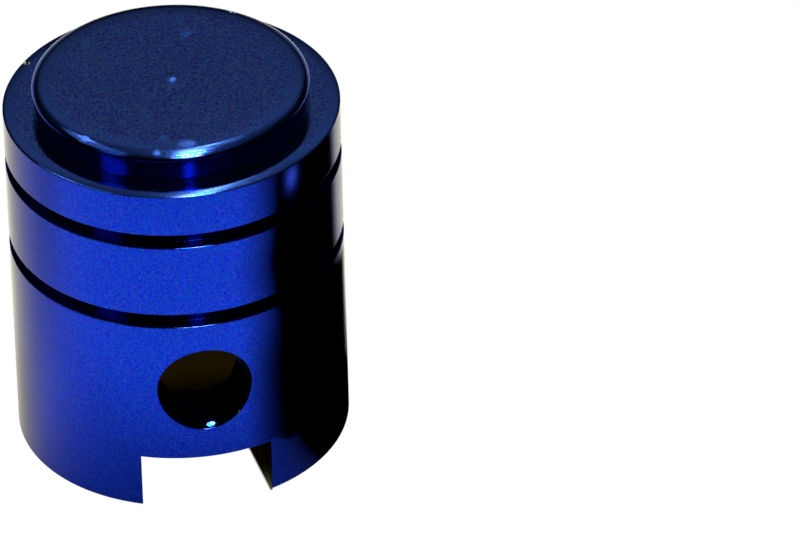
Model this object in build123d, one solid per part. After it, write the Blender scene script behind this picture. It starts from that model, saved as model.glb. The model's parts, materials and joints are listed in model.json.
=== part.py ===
from build123d import *
import os

# A screw-on cap for a tyre valve, turned from aluminium in the shape of a small piston.
# Millimetres, +Z up. The cap stands on its skirt, with its axis on Z and the rim on Z = 0.
# The cross hole and the cut-outs of the skirt face -Y and +Y.

# Bore for the valve stem, drawn at the outer diameter of its fine thread
thread_diameter = 7.8
thread_lead_in = 0.4
roof_thickness = 4.3

# Rubber ring in a relief at the closed end of the bore
relief_depth = 0.2
seal_thickness = 1.2
seal_hole_diameter = 3.0
seal_clearance = 0.05

# Radial sizes of the turned outside
wall = 2.1
groove_depth = 0.45
shoulder_width = 1.05

# Heights of the turned outside, stacked from the rim to the crown
slot_height = 2.15
web_over_slot = 1.22
pin_hole_diameter = 3.4
skirt_land = 1.08
groove_width = 0.55
ring_land = 2.86
top_land = 1.69
crown_height = 1.0

# Pip that the parting tool leaves at the centre of the crown
pip_height = 0.08
pip_round = 0.25

# Cut-out of the skirt, and edges
slot_width = 4.7
crown_edge_radius = 0.28
shoulder_edge_radius = 0.1
rim_edge_break = 0.1

# Sizes that follow from those above
thread_radius = thread_diameter / 2
relief_radius = thread_radius + relief_depth
seal_radius = relief_radius - seal_clearance
body_radius = thread_radius + wall
groove_radius = body_radius - groove_depth
crown_radius = body_radius - shoulder_width
through_length = 3 * body_radius

# Heights that follow from the stack
pin_hole_radius = pin_hole_diameter / 2
pin_hole_height = slot_height + web_over_slot + pin_hole_radius
lower_groove_floor = pin_hole_height + pin_hole_radius + skirt_land
lower_groove_top = lower_groove_floor + groove_width
upper_groove_floor = lower_groove_top + ring_land
upper_groove_top = upper_groove_floor + groove_width
shoulder_height = upper_groove_top + top_land
crown_top = shoulder_height + crown_height
bore_depth = crown_top - roof_thickness
thread_end = bore_depth - seal_thickness


def turned(outline):
    """A solid of revolution about Z from an outline of (radius, height) points."""
    return revolve(Plane.XZ * outline, axis=Axis.Z)


def round_corner(outline, corner, radius):
    """The outline with the corner nearest to the given point rounded."""
    return fillet(outline.vertices().sort_by_distance(corner)[0], radius)


def turned_blank():
    """The outside of the piston: skirt, two ring grooves, shoulder and raised crown with its pip."""
    outline = make_face(
        Polyline(
            (0, 0),
            (body_radius - rim_edge_break, 0),
            (body_radius, rim_edge_break),
            (body_radius, lower_groove_floor),
            (groove_radius, lower_groove_floor),
            (groove_radius, lower_groove_top),
            (body_radius, lower_groove_top),
            (body_radius, upper_groove_floor),
            (groove_radius, upper_groove_floor),
            (groove_radius, upper_groove_top),
            (body_radius, upper_groove_top),
            (body_radius, shoulder_height),
            (crown_radius, shoulder_height),
            (crown_radius, crown_top),
            (0, crown_top),
            close=True,
        )
    )
    outline = round_corner(outline, (body_radius, shoulder_height), shoulder_edge_radius)
    outline = round_corner(outline, (crown_radius, crown_top), crown_edge_radius)
    pip = Pos(0, 0, crown_top + pip_height - pip_round) * Sphere(pip_round)
    return turned(outline) + pip


def bore_space():
    """The space inside: lead-in, threaded length and the relief that keeps the seal in place."""
    outline = make_face(
        Polyline(
            (0, 0),
            (thread_radius + thread_lead_in, 0),
            (thread_radius, thread_lead_in),
            (thread_radius, thread_end),
            (relief_radius, thread_end),
            (relief_radius, bore_depth),
            (0, bore_depth),
            close=True,
        )
    )
    return turned(outline)


def make_cap_body():
    """The aluminium cap: the turned blank, bored, cross drilled and slotted across the skirt."""
    cross_hole = Pos(0, 0, pin_hole_height) * Rot(90, 0, 0) * Cylinder(pin_hole_radius, through_length)
    slot = Pos(0, 0, slot_height / 2) * Box(slot_width, through_length, slot_height)
    return turned_blank() - bore_space() - cross_hole - slot


def make_sealing_washer():
    """The rubber ring that seats on the closed end of the bore."""
    ring = Cylinder(seal_radius, seal_thickness) - Cylinder(seal_hole_diameter / 2, seal_thickness)
    return Pos(0, 0, bore_depth - seal_thickness / 2) * ring


os.makedirs("parts", exist_ok=True)
export_step(make_cap_body(), "parts/cap_body.step")
export_step(make_sealing_washer(), "parts/sealing_washer.step")
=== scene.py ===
import json
import math

import bmesh
import bpy
import numpy as np
from mathutils import Euler, Matrix, Vector


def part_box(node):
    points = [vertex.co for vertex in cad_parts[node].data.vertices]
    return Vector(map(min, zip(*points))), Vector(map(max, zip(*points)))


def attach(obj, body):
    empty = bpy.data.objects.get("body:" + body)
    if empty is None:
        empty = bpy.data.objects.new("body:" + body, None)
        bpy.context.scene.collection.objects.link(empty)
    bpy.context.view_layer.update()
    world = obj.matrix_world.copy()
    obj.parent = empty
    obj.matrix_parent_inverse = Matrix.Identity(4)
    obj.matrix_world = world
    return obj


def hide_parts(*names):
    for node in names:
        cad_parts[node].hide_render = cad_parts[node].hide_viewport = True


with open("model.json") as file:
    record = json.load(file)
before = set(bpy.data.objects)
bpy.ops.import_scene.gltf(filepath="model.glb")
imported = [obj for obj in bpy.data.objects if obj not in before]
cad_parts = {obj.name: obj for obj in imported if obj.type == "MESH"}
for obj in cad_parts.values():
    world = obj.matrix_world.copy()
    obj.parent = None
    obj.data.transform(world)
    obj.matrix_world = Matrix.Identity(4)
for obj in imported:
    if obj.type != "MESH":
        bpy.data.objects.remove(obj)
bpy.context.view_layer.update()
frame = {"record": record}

# A tyre valve cap in the shape of a small piston, in blue anodised aluminium, with its rubber seal.
# Shapes are worked out in millimetres, in the frame of the solids, and become metres as meshes are made.
MM = 0.001

# Sizes that the frame gives
mounts = {mount["name"]: mount for mount in frame["record"]["mounts"]}
body_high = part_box("cap_body")[1] / MM
seal_low, seal_high = (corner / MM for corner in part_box("sealing_washer"))
body_radius = body_high.x
thread_radius = mounts["valve_thread"]["dims"]["r_mm"]
pin_hole_radius = mounts["cross_hole"]["dims"]["r_mm"]
pin_hole_height = mounts["cross_hole"]["pos_m"][2] / MM

# Sizes of the turned outside. The pip at the centre of the crown is drawn lower than its solid.
pip_height = 0.08
pip_rise = 0.012
pip_reach = 0.35
crown_top = body_high.z - pip_height
crown_height = 1.0
crown_radius = 4.95
crown_undercut = 0.045
shoulder_height = crown_top - crown_height
groove_depth = 0.45
groove_radius = body_radius - groove_depth
groove_width = 0.55
groove_floors = (7.85, 11.26)

# Cut-out of the skirt
slot_width = 4.7
slot_height = 2.15

# Inside of the bore: a right-hand valve thread, drawn shallow, and the seal above it
thread_lead_in = 0.4
inch = 25.4
thread_turns_per_inch = 32
thread_pitch = inch / thread_turns_per_inch
thread_depth = 0.25
thread_root_share = 0.125
thread_crest_share = 0.25
seal_clearance = 0.05
relief_radius = seal_high.x + seal_clearance
seal_hole_radius = 1.5

# Edge rounding, as one length or as lengths along the face and down the wall.
# The crown and the shoulder roll off towards their edges: width, drop and rounding of the slope's start.
crown_edge = (0.45, 0.2)
crown_roll_width = 0.75
crown_roll_drop = 0.045
crown_roll_round = 0.28
shoulder_edge = (0.15, 0.03)
shoulder_roll_width = 0.35
shoulder_roll_drop = 0.045
shoulder_roll_round = 0.15
groove_edge = 0.03
rim_edge = 0.1
cut_edge = 0.02
seal_edge = 0.12

# Cutters: how far they reach outside the wall, and the lip and the first angle of the edge that they round
cutter_reach = 1.0
cutter_lip = 0.01
cutter_angle = math.radians(15)

# Nicks in the anodised skin, as place, half sizes, heading in degrees about Z and share of bare metal
nicks = {
    "shoulder": ((-4.76, 3.55, 13.52), (0.26, 0.14, 0.12), 127, 1.0),
    "crown_back": ((2.86, 3.73, 14.47), (0.22, 0.08, 0.05), 142, 0.3),
    "hole_side": ((1.12, -5.90, 3.93), (0.13, 0.14, 0.12), 0, 0.8),
}

# Scuffs, as place, half sizes, heading in degrees about Z and the way that the surface faces in the middle
scuffs = {
    "crown_front": ((-0.10, -4.25, 14.48), (0.5, 0.36, 0.15), 0, (-0.010, -0.128, 1)),
    "crown_spot": ((-1.20, -4.55, 14.445), (0.24, 0.3, 0.1), 0, (-0.0194, -0.1985, 1)),
    "crown_left": ((-3.54, -3.15, 14.432), (0.32, 0.34, 0.12), 0, (-0.250, -0.207, 1)),
    "crown_speck": ((-0.82, -3.72, 14.5), (0.2, 0.22, 0.2), 0, (-0.021, -0.126, 1)),
    "crown_scratch": ((1.00, 2.61, 14.5), (0.45, 0.15, 0.2), 22, (-0.021, -0.126, 1)),
    "pip_front": ((0.03, -0.18, 14.5), (0.2, 0.3, 0.3), 0, (-0.004, -0.128, 1)),
    "hole_floor": ((0.19, -5.74, 3.38), (0.30, 0.26, 0.25), 12, (-0.038, -0.913, 1)),
    "hole_side": ((1.12, -5.90, 3.93), (0.26, 0.28, 0.24), 0, (-0.537, -0.713, 0.45)),
}

# Faces within this margin of a scuff's half sizes are divided where they are longer than a cell.
# The higher the power, the further out a scuff keeps its full strength.
scuff_margin = 1.15
scuff_cuts = 4
scuff_cell = 0.06
scuff_power = 1.5

# Colours, as linear light. The grooves get painted shade: a share of the walls' dye, the rest black.
white = (1, 1, 1, 1)
black = (0, 0, 0, 1)
wall_dye = (0.00165, 0.0198, 0.318, 1)
# Faced ends: a paler dye, partly their own finish and partly a painted sheen
face_dye_and_sheen = (0.044, 0.125, 0.575, 1)
painted_groove_shade = 0.7
bare_metal = (0.80, 0.82, 0.86, 1)
edge_tint = (0.88, 0.86, 0.62, 1)

# When a surface counts as faced, by the square of its normal's rise, and as flat, by that rise
faced_range = (0.3, 0.95)
flat_range = (0.9985, 0.9998)

# Grain of the dye: marks to the millimetre, and how much the specks change red, green and blue
# on the walls, on the rounded edges and on the flat faces
grain_scale = 12
wall_grain = (28.0, 3.4, 1.15, 1)
edge_grain = (3.0, 1.5, 0.8, 1)
face_grain = (18.0, 4.8, 2.7, 1)

# Gloss of the aluminium: turning lines and cloudy patches, in marks to the millimetre, and a thin coat
turning_scale = 14
turning_detail = 3
line_depth = 0.00025
line_roughness = (0.09, 0.12)
cloud_scale = 0.5
patch_roughness = (0.0, 0.02)
coat_weight = 0.03
coat_roughness = 0.12

# Rubber: its grain in marks to the millimetre, with the relief, the colours and the roughness of it
rubber_scale = 9
rubber_detail = 4
rubber_bump = 0.6
rubber_depth = 0.02
rubber_dark = (0.012, 0.012, 0.013, 1)
rubber_pale = (0.032, 0.032, 0.034, 1)
rubber_roughness = (0.6, 0.9)

# Values that noise mostly lies between, and the middle of them
noise_span = (0.3, 0.7)
noise_middle = 0.5

# Floor, a disc just below the cap. Its paint has painted shade: darker behind the cap, and black far in
# front of it.
floor_radius = 300
floor_segments = 64
floor_gap = 0.005
floor_paint = (0.95, 0.55)
floor_behind = (-8, 4)
floor_far = (25.5, 29)
floor_front = (20, 10)

# Painted shade on the floor at the cap's front foot, and on its right between angles from the front, in
# radians
painted_foot_shade = (5.5, 15, 0.72, 0.0)
near_front = (-1, -7)
side_shade = (0.4, 0.85)
side_end = (2.2, 1.8)
side_reach = (12, 18)

# Footprint of the cap, which reaches further out in the cut-out's mouth, and a painted dim glow on the floor
# in it
footprint = (5.75, 5.85)
mouth_reach = 0.2
floor_shade = (0.0086, 0.0052, 0.0002, 1)
floor_deep = (1.2, 2.4, 0.3, 1.1)
floor_mouth = (-3.9, -5.2)
mouth_shade = (0.046, 0.044, 0.019, 1)

# White floor that the camera sees in the front cut-out, as far as a painted shadow slanting from its right
# leg
slot_white = (-2.4, -2.6)
leg_shade = (1.58, 1.50)
leg_lean = 0.13

# Black card beside the cap, in millimetres and degrees about the axis, with soft front and far ends
flag_span = (20, 112)
flag_soft = (20, 9)
flag_radius = 8.1
flag_height = 12
flag_steps = (101, 49)

# Its front end is lifted off the floor and bulges about a height. Its far end is cut back above a height.
flag_lift = 0.5
flag_lift_angles = (34, 42)
flag_bulge = 4.0
flag_bulge_height = 8.0
flag_bulge_reach = 2.5
flag_cut = 18.0
flag_cut_heights = (4.2, 5.2)

# Clear spot in the card, as angle and height, with half sizes
flag_spot = (48.5, 11.2)
flag_spot_size = (3.2, 0.42)

# Room, by the parts of a direction one long. It brightens to the back and upwards, and dims again high up.
# It darkens to the sides of its middle, where two low wings light the back.
room_middle = 0.13
room_side = (0.2, 0.45, 1.0, 0.1)
room_back = (-0.65, 0.05)
room_up = (0.35, 0.62)
room_light = (0.02, 0.23)
room_high = (0.66, 0.76, 1.0, 0.45)
wings_low = (0.3, 0.1, 0.0, 0.6)
wings_side = (0.1, 0.3)
wings_back = (0.55, 0.75)

# Lamps that show in gloss, as azimuth and elevation, width and height in degrees, and radiance
lamp_distance = 400
lamp_colour = (1, 0.965, 0.88)
lamps = {
    "key_light": (7, 59.3, (15, 24), 30),
    "top_light": (62, 84, (11, 11), 25),
    "top_front_light": (24, 74.7, (7, 13), 20),
    "top_back_light": (130, 81.3, (8, 8), 20),
    "back_light": (162, 70.5, (5, 18), 12),
    "rear_light": (168, 57.5, (2.4, 16), 8),
    "streak_light": (168.8, 48.5, (1.0, 8), 9),
    "tail_light": (160.4, 54, (3, 8), 0.6),
    "front_light": (5, 38.5, (6.3, 15), 3.4),
    "low_front_light": (5, 14, (6.3, 24), 0.5),
    "side_light": (-60, 38.5, (17, 15), 1.5),
    "low_side_light": (-60, 14, (17, 24), 0.4),
    "left_light": (-110, 62, (56, 22), 0.6),
    "back_left_light": (-157.3, 55.9, (4.5, 4.5), 3.0),
}

# Ceiling light, for what is matt
ceiling_height = 600
ceiling_size = (500, 500)
ceiling_radiance = 13.78

# Camera, fitted to the photograph's frame: the point of the cap's axis at the aim height is at the aim pixel
image_size = (800, 536)
aim_pixel = (177.434, 250.701)
aim_height = 7.0
focal_pixels = 9000
sensor_width = 36
camera_distance = 323.05
camera_azimuth = -9.4
camera_elevation = 35.008
camera_roll = -1.375
camera_clip = (10, 10000)

# Fineness of the meshes
turns = 256
hole_steps = 96
slot_steps = 40
arc_steps = 8
row_length = 0.6
long_row = 0.08
edge_row = 0.006
inner_rows = (0.2, 0.4, 0.6, 0.8)
thread_rows = 8
ball_divisions = 4
smooth_angle = math.radians(32)


def rounded(corners):
    """Points of an open outline of (radius, height, rounding) corners, with arcs at the rounded ones.

    A rounding is how far its arc reaches before and after the corner, or one length for both.
    """
    places = [Vector(corner[:2]) for corner in corners]
    points = [places[0]]
    for i in range(1, len(corners) - 1):
        place = places[i]
        before, after = (float(length) for length in np.broadcast_to(corners[i][2], 2))
        if before == 0:
            points.append(place)
            continue
        back = (places[i - 1] - place).normalized() * before
        ahead = (places[i + 1] - place).normalized() * after
        for angle in np.linspace(0, math.pi / 2, arc_steps + 1):
            points.append(place + back * (1 - math.sin(angle)) + ahead * (1 - math.cos(angle)))
    points.append(places[-1])
    return points


def with_rows(points):
    """The outline with its long runs divided into rows, and a narrow row at each end of such a run."""
    rows = [points[0]]
    for start, end in zip(points, points[1:]):
        length = (end - start).length
        if length > long_row:
            count = max(1, round(length / row_length))
            inner = np.linspace(edge_row, length - edge_row, count + 1)
            rows += [start.lerp(end, place / length) for place in inner]
        rows.append(end)
    return rows


def ring_faces(first, second):
    """Quads between two rings of vertex numbers of the same length."""
    return list(zip(first, second, second[1:] + second[:1], first[1:] + first[:1]))


class Shell:
    """The points and faces of a turned surface, as they are added."""

    def __init__(self):
        self.points = []
        self.faces = []

    def ring(self, radius, height):
        """Adds a ring of points about the axis, or one point on it, and gives their numbers."""
        first = len(self.points)
        if radius < edge_row / 2:
            self.points.append([0, 0, height])
            return [first]
        for angle in np.arange(turns) * 2 * math.pi / turns:
            self.points.append([radius * math.cos(angle), radius * math.sin(angle), height])
        return list(range(first, first + turns))

    def skin(self, first, second):
        """Adds the faces between two rings, either of which may be one point on the axis."""
        if len(first) == 1:
            self.faces += [(first[0], *pair) for pair in zip(second, second[1:] + second[:1])]
        elif len(second) == 1:
            self.faces += [(second[0], *pair) for pair in zip(first[1:] + first[:1], first)]
        else:
            self.faces += ring_faces(first, second)

    def turn(self, outline, start=None):
        """Adds the surface of revolution of an outline, from a given ring if there is one."""
        rings = [self.ring(*place) for place in outline]
        for first, second in zip(([start] if start else []) + rings, rings if start else rings[1:]):
            self.skin(first, second)
        return rings


def add_object(name, data):
    """An object in the scene that holds a mesh, a lamp or a camera."""
    made = bpy.data.objects.new(name, data)
    bpy.context.scene.collection.objects.link(made)
    return made


def make_object(name, points, faces, cutter=False, bare=0.0):
    """A smooth mesh object that keeps its corner normals as an attribute.

    A cutter's normals point into it, as they will on the surface that it leaves.
    """
    mesh = bpy.data.meshes.new(name)
    mesh.from_pydata((np.array(points) * MM).tolist(), [], faces)
    mesh.shade_smooth()
    mesh.set_sharp_from_angle(angle=smooth_angle)
    normals = np.zeros(len(mesh.loops) * 3, np.float32)
    mesh.corner_normals.foreach_get("vector", normals)
    shade = mesh.attributes.new("shade_normal", "FLOAT_VECTOR", "CORNER")
    shade.data.foreach_set("vector", -normals if cutter else normals)
    worn = mesh.attributes.new("bare", "FLOAT", "CORNER")
    worn.data.foreach_set("value", np.full(len(mesh.loops), bare, np.float32))
    return add_object(name, mesh)


def cut(target, cutter):
    """Takes a cutter out of an object, and removes the cutter."""
    modifier = target.modifiers.new("cut", "BOOLEAN")
    modifier.operation = "DIFFERENCE"
    modifier.solver = "MANIFOLD"
    modifier.object = cutter
    graph = bpy.context.evaluated_depsgraph_get()
    mesh = bpy.data.meshes.new_from_object(
        target.evaluated_get(graph), preserve_all_data_layers=True, depsgraph=graph
    )
    target.modifiers.clear()
    target.data = mesh
    bpy.data.objects.remove(cutter)


def mark_shaded_grooves(target):
    """Marks the points inside the ring grooves, which get painted shade."""
    place = np.array([vert.co for vert in target.data.vertices]) / MM
    radius = np.hypot(place[:, 0], place[:, 1])
    groove_shade_mask = np.zeros(len(place), np.float32)
    for floor in groove_floors:
        level = (place[:, 2] > floor - groove_edge) & (place[:, 2] < floor + groove_width + groove_edge)
        groove_shade_mask[level & (radius > thread_radius + edge_row) & (radius < body_radius - groove_edge)] = 1
    target.data.attributes.new("groove_shade_mask", "FLOAT", "POINT").data.foreach_set("value", groove_shade_mask)


def local_frame(place, half_sizes, heading):
    """The matrix that takes a unit ball to its place, half sizes and heading in degrees about Z."""
    turn = Euler((0, 0, math.radians(heading))).to_matrix().to_4x4()
    return Matrix.Translation(place) @ turn @ Matrix.Diagonal((*half_sizes, 1))


def lean(mesh, normals):
    """Leans the corner normals of a mesh where it is scuffed, and most in the middle of each scuff."""
    corners = np.zeros(len(mesh.loops), np.int32)
    mesh.loops.foreach_get("vertex_index", corners)
    place = np.array([vert.co for vert in mesh.vertices])[corners] / MM
    for *ball, facing in scuffs.values():
        inverse = np.array(local_frame(*ball).inverted())
        away = ((place @ inverse[:3, :3].T + inverse[:3, 3]) ** 2).sum(axis=1, keepdims=True)
        share = np.clip(1 - away**scuff_power, 0, 1) ** 2
        normals += share * (np.array(Vector(facing).normalized()) - normals)


def use_kept_normals(target):
    """Shades an object by the corner normals that its surfaces had before they were cut."""
    mesh = target.data
    kept = mesh.attributes["shade_normal"]
    normals = np.zeros(len(mesh.loops) * 3, np.float32)
    kept.data.foreach_get("vector", normals)
    normals = normals.reshape(-1, 3)
    lean(mesh, normals)
    mesh.attributes.remove(kept)
    mesh.shade_smooth()
    mesh.normals_split_custom_set(normals / np.linalg.norm(normals, axis=1, keepdims=True))


def outside_outline():
    """From the pip at the centre of the crown, down the outside and round the rim to the thread."""
    pip = [
        Vector((pip_reach * share, crown_top + pip_rise * (1 - share**2) ** 2))
        for share in np.linspace(0, 1, arc_steps + 1)
    ]
    corners = [
        (*pip[-1], 0),
        (crown_radius - crown_roll_width, crown_top, crown_roll_round),
        (crown_radius, crown_top - crown_roll_drop, crown_edge),
        (crown_radius - crown_undercut, shoulder_height, 0),
        (body_radius - shoulder_roll_width, shoulder_height, shoulder_roll_round),
        (body_radius, shoulder_height - shoulder_roll_drop, shoulder_edge),
    ]
    for floor in reversed(groove_floors):
        corners += [
            (body_radius, floor + groove_width, groove_edge),
            (groove_radius, floor + groove_width, groove_edge),
            (groove_radius, floor, groove_edge),
            (body_radius, floor, groove_edge),
        ]
    corners += [
        (body_radius, 0, rim_edge),
        (thread_radius + thread_lead_in, 0, groove_edge),
        (thread_radius, thread_lead_in, 0),
    ]
    return with_rows(pip[:-1] + rounded(corners))


def thread_surface(height, turn):
    """Radius of the thread at a height, after a share of a turn."""
    place = np.abs((height / thread_pitch - turn + 0.5) % 1 - 0.5)
    root = thread_root_share / 2
    crest = (1 - thread_crest_share) / 2
    ridge = thread_radius - thread_depth * np.clip((place - root) / (crest - root), 0, 1)
    return np.maximum(ridge, thread_radius + thread_lead_in - height)


def add_thread(shell, mouth):
    """Adds the thread between the ring at its mouth and the seal, and gives its last ring.

    Its rows of points follow the helix. A row starts on the mouth and ends level with the seal.
    """
    low, high = thread_lead_in, seal_low.z
    rows = math.ceil((high - low) / thread_pitch * thread_rows) + thread_rows
    columns = []
    for step in range(turns):
        turn = step / turns
        column = []
        for row in range(rows + 1):
            height = low + (row / thread_rows + turn - 1) * thread_pitch
            if height <= low:
                column.append(mouth[step])
            elif column[-1] == len(shell.points) - 1 and shell.points[-1][2] == high:
                column.append(column[-1])
            else:
                height = min(height, high)
                radius = float(thread_surface(height, turn))
                angle = turn * 2 * math.pi
                column.append(len(shell.points))
                shell.points.append([radius * math.cos(angle), radius * math.sin(angle), height])
        columns.append(column)
    columns.append(columns[0][thread_rows:] + columns[0][-1:] * thread_rows)
    for column, after in zip(columns, columns[1:]):
        for row in range(rows):
            corners = column[row], column[row + 1], after[row + 1], after[row]
            face = list(dict.fromkeys(corners))
            if len(face) > 2:
                shell.faces.append(face)
    return [column[-1] for column in columns[:-1]]


def refine_scuffs(target):
    """Divides the larger faces of an object where it is scuffed, so that the scuffs get a smooth edge."""
    surface = bmesh.new()
    surface.from_mesh(target.data)
    for *ball, _ in scuffs.values():
        inverse = local_frame(*ball).inverted()
        near = [
            face
            for face in surface.faces
            if (inverse @ (face.calc_center_median() / MM)).length < scuff_margin
        ]
        large = [face for face in near if max(edge.calc_length() for edge in face.edges) > scuff_cell * MM]
        edges = list({edge for face in large for edge in face.edges})
        bmesh.ops.subdivide_edges(surface, edges=edges, cuts=scuff_cuts, use_grid_fill=True)
    surface.to_mesh(target.data)
    surface.free()


def make_turned_body():
    """The cap as it comes off the lathe: the outside, the threaded bore, the relief and the roof."""
    shell = Shell()
    mouth = shell.turn(outside_outline())[-1]
    relief = [(relief_radius, seal_low.z), (relief_radius, seal_high.z), (0, seal_high.z)]
    shell.turn(with_rows([Vector(place) for place in relief]), start=add_thread(shell, mouth))
    return make_object("anodised_cap", shell.points, shell.faces)


def edge_flare():
    """(depth, offset) pairs of a cutter's side where it rounds an edge: from outside to full depth."""
    pairs = [
        (cut_edge * (1 - math.cos(angle)), cut_edge * (1 - math.sin(angle)))
        for angle in np.linspace(cutter_angle, math.pi / 2, arc_steps)
    ]
    depth, offset = pairs[0]
    lip = (depth - cutter_lip * math.sin(cutter_angle), offset + cutter_lip * math.cos(cutter_angle))
    return [(-cutter_reach, lip[1]), lip, *pairs, *((row, 0) for row in inner_rows)]


def make_cross_cutter(name, outline):
    """A cutter that runs through both walls along Y and rounds the edges that it leaves outside.

    The outline has (x, z, outward x, outward z) rows, anticlockwise as seen from -Y.
    """
    x, z, out_x, out_z = np.array(outline).T
    points = []
    rings = []
    for side in (-1, 1):
        for depth, offset in edge_flare()[::-side]:
            ring_x = x + offset * out_x
            wall = np.sqrt(body_radius**2 - ring_x**2) - depth
            rings.append(list(range(len(points), len(points) + len(x))))
            points += np.column_stack([ring_x, side * wall, z + offset * out_z]).tolist()
    faces = [rings[0], rings[-1][::-1]]
    for first, second in zip(rings, rings[1:]):
        faces += ring_faces(first, second)
    return make_object(name, points, faces, cutter=True)


def hole_outline():
    """The round outline of the cross hole."""
    rows = []
    for angle in np.arange(hole_steps) * 2 * math.pi / hole_steps:
        out_x, out_z = math.cos(angle), math.sin(angle)
        rows.append((pin_hole_radius * out_x, pin_hole_height + pin_hole_radius * out_z, out_x, out_z))
    return rows


def slot_outline():
    """The outline of the skirt's cut-out, which rounds the edges that it leaves on the rim."""
    half = slot_width / 2
    right = [(half + offset, depth, 1, 0) for depth, offset in edge_flare()]
    top = [(x, slot_height, 0, 1) for x in np.linspace(half, -half, slot_steps + 1)[1:-1]]
    left = [(-x, z, -1, 0) for x, z, *_ in right]
    return [*right, (half, slot_height, 1, 1), *top, (-half, slot_height, -1, 1), *left[::-1]]


def make_nick(name, place, half_sizes, heading, bare):
    """A cutter of the shape of a squashed ball, which leaves a share of bare metal."""
    ball = bmesh.new()
    shape = local_frame(place, half_sizes, heading)
    bmesh.ops.create_icosphere(ball, subdivisions=ball_divisions, radius=1, matrix=shape)
    points = [list(vert.co) for vert in ball.verts]
    faces = [[vert.index for vert in face.verts] for face in ball.faces]
    ball.free()
    return make_object(name, points, faces, cutter=True, bare=bare)


def make_body():
    """The whole aluminium cap."""
    body = make_turned_body()
    cut(body, make_cross_cutter("cross_hole", hole_outline()))
    cut(body, make_cross_cutter("skirt_slot", slot_outline()))
    for name, nick in nicks.items():
        cut(body, make_nick(name, *nick))
    refine_scuffs(body)
    mark_shaded_grooves(body)
    use_kept_normals(body)
    return body


def make_seal():
    """The rubber ring at the closed end of the bore."""
    low, high, radius = seal_low.z, seal_high.z, seal_high.x
    middle = (seal_hole_radius + radius) / 2
    corners = [
        (middle, high, 0),
        (radius, high, seal_edge),
        (radius, low, seal_edge),
        (seal_hole_radius, low, seal_edge),
        (seal_hole_radius, high, seal_edge),
        (middle, high, 0),
    ]
    shell = Shell()
    rings = shell.turn(with_rows(rounded(corners))[:-1])
    shell.skin(rings[-1], rings[0])
    seal = make_object("rubber_seal", shell.points, shell.faces)
    use_kept_normals(seal)
    return seal


def add_node(tree, kind, inputs=(), **settings):
    """Adds a shader node. An input is a value or the output of another node."""
    node = tree.nodes.new(kind)
    for name, value in settings.items():
        setattr(node, name, value)
    for socket, value in dict(inputs).items():
        if isinstance(value, bpy.types.NodeSocket):
            tree.links.new(value, node.inputs[socket])
        else:
            node.inputs[socket].default_value = value
    return node


def mix_colours(tree, share, first, second):
    """The output of a node that mixes two colours."""
    inputs = {0: share, 6: first, 7: second}
    return add_node(tree, "ShaderNodeMix", inputs, data_type="RGBA").outputs[2]


def map_range(tree, value, low, high, to_low=0.0, to_high=1.0, curve="LINEAR"):
    """The output of a node that maps a range of values to another."""
    inputs = {0: value, 1: low, 2: high, 3: to_low, 4: to_high}
    return add_node(tree, "ShaderNodeMapRange", inputs, interpolation_type=curve).outputs[0]


def noise(tree, coordinate, scale, detail=2.0, lines=False):
    """The output of a noise node, in three dimensions or, for lines, along one."""
    inputs = {"W" if lines else "Vector": coordinate, "Scale": scale, "Detail": detail}
    dimensions = "1D" if lines else "3D"
    return add_node(tree, "ShaderNodeTexNoise", inputs, noise_dimensions=dimensions).outputs["Fac"]


def combine(tree, first, second, operation):
    """The output of a node that does arithmetic on two numbers."""
    return add_node(tree, "ShaderNodeMath", {0: first, 1: second}, operation=operation).outputs[0]


def product(tree, first, *others):
    """The output of nodes that multiply numbers."""
    for other in others:
        first = combine(tree, first, other, "MULTIPLY")
    return first


def combine_vectors(tree, operation, *vectors):
    """The output of a node that does arithmetic on vectors."""
    node = add_node(tree, "ShaderNodeVectorMath", dict(enumerate(vectors)), operation=operation)
    return node.outputs["Value" if operation == "LENGTH" else "Vector"]


def separate(tree, vector):
    """The three outputs of a node that takes a vector apart."""
    return add_node(tree, "ShaderNodeSeparateXYZ", {0: vector}).outputs


def place_in_mm(tree):
    """The output of nodes that give the place on the object in millimetres."""
    place = add_node(tree, "ShaderNodeTexCoord").outputs["Object"]
    return combine_vectors(tree, "MULTIPLY", place, (1 / MM,) * 3)


def attribute(tree, name):
    """The output of a node that reads a number from the mesh."""
    return add_node(tree, "ShaderNodeAttribute", attribute_name=name).outputs["Fac"]


def bump_normal(tree, height, strength, depth):
    """The output of a node that leans the normal by a height. Its depth is in millimetres."""
    inputs = {"Height": height, "Strength": strength, "Distance": depth * MM}
    return add_node(tree, "ShaderNodeBump", inputs).outputs[0]


def mix_shaders(tree, share, first, second):
    """A node that mixes the shaders of two others."""
    return add_node(tree, "ShaderNodeMixShader", {0: share, 1: first.outputs[0], 2: second.outputs[0]})


def new_material(name):
    """A material without nodes, and its node tree."""
    material = bpy.data.materials.new(name)
    material.use_nodes = True
    material.node_tree.nodes.clear()
    return material, material.node_tree


def show(tree, shader):
    """Sends a shader to the material's surface."""
    add_node(tree, "ShaderNodeOutputMaterial", {"Surface": shader.outputs[0]})


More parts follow.
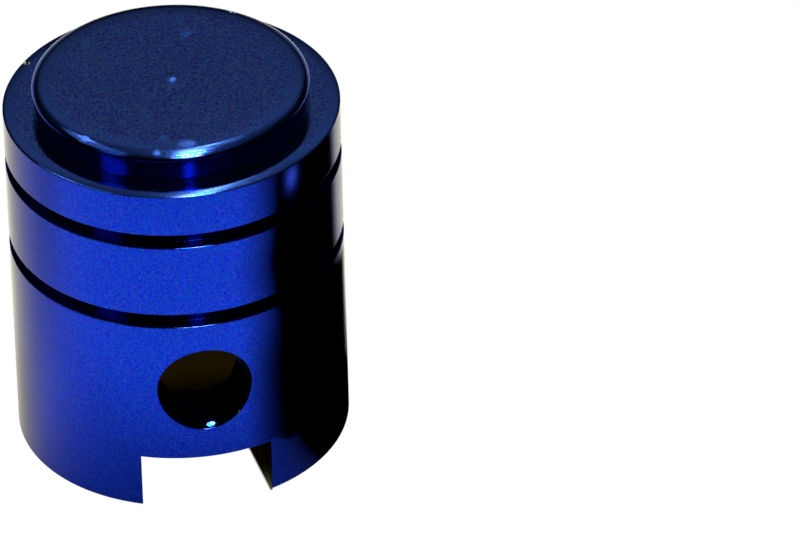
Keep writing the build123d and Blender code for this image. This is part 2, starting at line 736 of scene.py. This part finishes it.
def skin_colour(tree, place, upright, faced):
    """The grained dye, with bare metal in the nicks. Faced ends are paler, partly their finish and partly a
    painted sheen; grooves get painted shade.
    """
    # Faced ends get the paler dye: partly their own finish, partly a painted sheen
    outside = mix_colours(tree, faced, wall_dye, face_dye_and_sheen)
    # Painted shade in the grooves: part of the walls' dye, the rest black
    dark = mix_colours(tree, painted_groove_shade, black, wall_dye)
    smooth = mix_colours(tree, attribute(tree, "groove_shade_mask"), outside, dark)
    specks = add_node(tree, "ShaderNodeTexNoise", {"Vector": place, "Scale": grain_scale}).outputs["Color"]
    about_zero = combine_vectors(tree, "SUBTRACT", specks, (noise_middle,) * 3)
    flat = map_range(tree, upright, *flat_range)
    gain = mix_colours(tree, flat, mix_colours(tree, faced, wall_grain, edge_grain), face_grain)
    grain = combine_vectors(tree, "MULTIPLY_ADD", about_zero, gain, (1,) * 3)
    dyed = combine_vectors(tree, "MULTIPLY", smooth, grain)
    return mix_colours(tree, attribute(tree, "bare"), dyed, bare_metal)


def make_aluminium():
    """Blue anodised aluminium, with fine turning lines on its walls and none on its faced ends."""
    material, tree = new_material("blue_anodised_aluminium")
    place = place_in_mm(tree)
    height = separate(tree, place)["Z"]
    upright = separate(tree, add_node(tree, "ShaderNodeTexCoord").outputs["Normal"])["Z"]
    faced = map_range(tree, combine(tree, upright, 2, "POWER"), *faced_range)
    walled = combine(tree, 1, faced, "SUBTRACT")

    turning = noise(tree, height, turning_scale, turning_detail, lines=True)
    marks = combine(tree, product(tree, turning, walled), product(tree, noise_middle, faced), "ADD")
    lines = map_range(tree, marks, *noise_span, *line_roughness)
    patches = map_range(tree, noise(tree, place, cloud_scale), *noise_span, *patch_roughness)
    shader = add_node(
        tree,
        "ShaderNodeBsdfPrincipled",
        {
            "Base Color": skin_colour(tree, place, upright, faced),
            "Metallic": 1.0,
            "Roughness": combine(tree, lines, patches, "ADD"),
            "Specular Tint": edge_tint,
            "Normal": bump_normal(tree, turning, walled, line_depth),
            "Coat Weight": coat_weight,
            "Coat Roughness": coat_roughness,
        },
    )
    show(tree, shader)
    return material


def make_rubber():
    """Black rubber with a fine matte grain."""
    material, tree = new_material("black_rubber")
    grain = noise(tree, place_in_mm(tree), rubber_scale, rubber_detail)
    shader = add_node(
        tree,
        "ShaderNodeBsdfPrincipled",
        {
            "Base Color": mix_colours(tree, grain, rubber_dark, rubber_pale),
            "Roughness": map_range(tree, grain, *noise_span, *rubber_roughness),
            "Normal": bump_normal(tree, grain, rubber_bump, rubber_depth),
        },
    )
    show(tree, shader)
    return material


def direction(azimuth, elevation):
    """The way from the cap to an azimuth, which turns from -Y to +X, and an elevation, in degrees."""
    a, e = math.radians(azimuth), math.radians(elevation)
    return Vector((math.sin(a) * math.cos(e), -math.cos(a) * math.cos(e), math.sin(e)))


def add_light(name, place, size, radiance, in_gloss):
    """A soft oval light that looks at the cap. It shows in gloss only, or lights only what is matt."""
    light = bpy.data.lights.new(name, "AREA")
    light.shape = "ELLIPSE"
    light.size, light.size_y = (length * MM for length in size)
    area = math.pi / 4 * light.size * light.size_y
    light.energy = radiance * math.pi * area
    light.color = lamp_colour
    lamp = add_object(name, light)
    lamp.location = Vector(place) * MM
    lamp.rotation_euler = (-lamp.location).to_track_quat("-Z", "Y").to_euler()
    lamp.visible_camera = False
    lamp.visible_glossy = in_gloss
    lamp.visible_diffuse = not in_gloss


def floor_light(tree, radius, side, depth):
    """How bright the paint is, with painted shade behind the cap, far in front, on the right and at the
    foot.
    """
    light = map_range(tree, depth, *floor_behind, *floor_paint, "SMOOTHSTEP")
    far = map_range(tree, radius, *floor_far, curve="SMOOTHSTEP")
    front = map_range(tree, depth, *floor_front, curve="SMOOTHSTEP")
    turn = combine(tree, side, product(tree, depth, -1), "ARCTAN2")
    beside = product(
        tree,
        map_range(tree, turn, *side_shade),
        map_range(tree, turn, *side_end),
        map_range(tree, radius, *side_reach, 1, 0, "SMOOTHSTEP"),
    )
    foot = product(tree, map_range(tree, radius, *painted_foot_shade), map_range(tree, depth, *near_front))
    for shade in (product(tree, far, front), beside, foot):
        light = product(tree, light, combine(tree, 1, shade, "SUBTRACT"))
    return light


def make_floor_paint():
    """Pale paint, with painted shade and a painted dim glow. The camera sees it white around the cap's
    footprint, dim inside it, clear from below.
    """
    material, tree = new_material("floor")
    place = place_in_mm(tree)
    radius = combine_vectors(tree, "LENGTH", place)
    side, depth, _ = separate(tree, place)
    in_slot = map_range(tree, depth, *slot_white)

    mouth = map_range(tree, side, slot_width / 2 + edge_row, slot_width / 2, 0, mouth_reach)
    reach = combine(tree, radius, product(tree, mouth, in_slot), "SUBTRACT")
    outside = map_range(tree, reach, *footprint)
    open_end = map_range(tree, depth, *floor_mouth)
    tone = mix_colours(tree, open_end, floor_shade, mouth_shade)
    glow = combine(tree, map_range(tree, depth, *floor_deep), open_end, "MAXIMUM")
    # Painted dim glow on the floor under the cap, paler in the mouth of the front cut-out
    dim = add_node(tree, "ShaderNodeEmission", {"Color": tone, "Strength": glow})
    paint = add_node(tree, "ShaderNodeBsdfDiffuse", {"Color": floor_light(tree, radius, side, depth)})
    matt = mix_shaders(tree, outside, dim, paint)

    # Beyond this slanting line by the right leg the camera sees the painted shadow, not white
    leg_line = combine(tree, side, product(tree, depth, leg_lean), "ADD")
    slot = product(tree, in_slot, map_range(tree, leg_line, *leg_shade))
    seen = add_node(tree, "ShaderNodeLightPath").outputs["Is Camera Ray"]
    around = product(tree, seen, combine(tree, outside, slot, "MAXIMUM"))
    top = mix_shaders(tree, around, matt, add_node(tree, "ShaderNodeEmission", {"Color": white}))
    below = add_node(tree, "ShaderNodeNewGeometry").outputs["Backfacing"]
    show(tree, mix_shaders(tree, below, top, add_node(tree, "ShaderNodeBsdfTransparent")))
    return material


def add_floor():
    """A pale floor, with painted shade and a painted dim glow about the cap."""
    disc = bmesh.new()
    bmesh.ops.create_circle(disc, cap_ends=True, segments=floor_segments, radius=floor_radius * MM)
    mesh = bpy.data.meshes.new("floor")
    disc.to_mesh(mesh)
    disc.free()
    mesh.materials.append(make_floor_paint())
    floor = add_object("floor", mesh)
    floor.location.z = -floor_gap * MM


def flag_cover(angle, height):
    """How much the card covers at an angle and a height."""
    bulge = flag_bulge * max(0, 1 - abs(height - flag_bulge_height) / flag_bulge_reach)
    start = flag_span[0] - bulge
    end = flag_span[1] - np.interp(height, flag_cut_heights, (0, flag_cut))
    ends = min((angle - start) / flag_soft[0], (end - angle) / flag_soft[1])
    across = (angle - flag_spot[0]) / flag_spot_size[0]
    along = (height - flag_spot[1]) / flag_spot_size[1]
    return min(max(ends, 0), 1) * (1 - math.exp(-(across**2 + along**2)))


def add_flag():
    """A black card close to the cap's right side, which only reflections show."""
    columns, rows = flag_steps
    points = []
    cover = []
    for angle in np.linspace(flag_span[0] - flag_bulge, flag_span[1], columns):
        foot = direction(angle, 0) * flag_radius
        lift = np.interp(angle, flag_lift_angles, (flag_lift, 0))
        for height in np.linspace(lift, flag_height, rows):
            points.append((foot + Vector((0, 0, height))) * MM)
            cover.append(flag_cover(angle, height))
    faces = [
        (i, i + rows, i + rows + 1, i + 1)
        for column in range(columns - 1)
        for i in range(column * rows, column * rows + rows - 1)
    ]
    mesh = bpy.data.meshes.new("flag")
    mesh.from_pydata(points, [], faces)
    mesh.attributes.new("cover", "FLOAT", "POINT").data.foreach_set("value", cover)
    material, tree = new_material("flag")
    clear = add_node(tree, "ShaderNodeBsdfTransparent")
    dark = add_node(tree, "ShaderNodeBsdfDiffuse", {"Color": black})
    show(tree, mix_shaders(tree, attribute(tree, "cover"), clear, dark))
    mesh.materials.append(material)
    flag = add_object("flag", mesh)
    flag.visible_camera = False
    flag.visible_diffuse = False
    flag.visible_shadow = False


def add_surroundings():
    """A room for the reflections, dark in front and dim behind, with a white backdrop for the camera."""
    world = bpy.data.worlds.new("room")
    world.use_nodes = True
    tree = world.node_tree
    tree.nodes.clear()
    x, y, z = separate(tree, add_node(tree, "ShaderNodeTexCoord").outputs["Generated"])
    aside = combine(tree, combine(tree, x, room_middle, "SUBTRACT"), 0, "ABSOLUTE")
    back = map_range(tree, y, *room_back, curve="SMOOTHSTEP")
    sides = map_range(tree, aside, *room_side, "SMOOTHSTEP")
    light = product(tree, map_range(tree, z, *room_up, *room_light), map_range(tree, z, *room_high))
    wings = product(
        tree,
        map_range(tree, z, *wings_low),
        map_range(tree, aside, *wings_side),
        map_range(tree, y, *wings_back),
    )
    room = combine(tree, product(tree, back, sides, light), wings, "ADD")
    seen = add_node(tree, "ShaderNodeLightPath").outputs["Is Camera Ray"]
    glow = add_node(tree, "ShaderNodeBackground", {"Color": mix_colours(tree, seen, room, white)})
    add_node(tree, "ShaderNodeOutputWorld", {"Surface": glow.outputs[0]})
    bpy.context.scene.world = world


def add_camera():
    """A long lens at the photograph's viewing angle, with the cap where the photograph has it."""
    toward = direction(camera_azimuth, camera_elevation)
    turn = toward.to_track_quat("Z", "Y").to_matrix() @ Matrix.Rotation(math.radians(camera_roll), 3, "Z")
    pixel = camera_distance / focal_pixels
    right = (image_size[0] / 2 - aim_pixel[0]) * pixel
    up = (aim_pixel[1] - image_size[1] / 2) * pixel
    place = Vector((0, 0, aim_height)) + turn @ Vector((right, up, camera_distance))
    lens = bpy.data.cameras.new("camera")
    lens.sensor_width = sensor_width
    lens.lens = focal_pixels * sensor_width / image_size[0]
    lens.clip_start, lens.clip_end = (length * MM for length in camera_clip)
    camera = add_object("camera", lens)
    camera.matrix_world = Matrix.Translation(place * MM) @ turn.to_4x4()
    bpy.context.scene.camera = camera


def place_piece(piece, node, material):
    """Gives a piece its finish, and puts it in the place of its solid."""
    piece.data.materials.clear()
    piece.data.materials.append(material)
    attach(piece, "root")
    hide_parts(node)


place_piece(make_body(), "cap_body", make_aluminium())
place_piece(make_seal(), "sealing_washer", make_rubber())
add_floor()
add_flag()
add_light("ceiling_light", direction(0, 90) * ceiling_height, ceiling_size, ceiling_radiance, False)
for name, (azimuth, elevation, spread, radiance) in lamps.items():
    size = [2 * lamp_distance * math.tan(math.radians(angle) / 2) for angle in spread]
    add_light(name, direction(azimuth, elevation) * lamp_distance, size, radiance, True)
add_surroundings()
add_camera()
bpy.context.scene.view_settings.view_transform = "Standard"
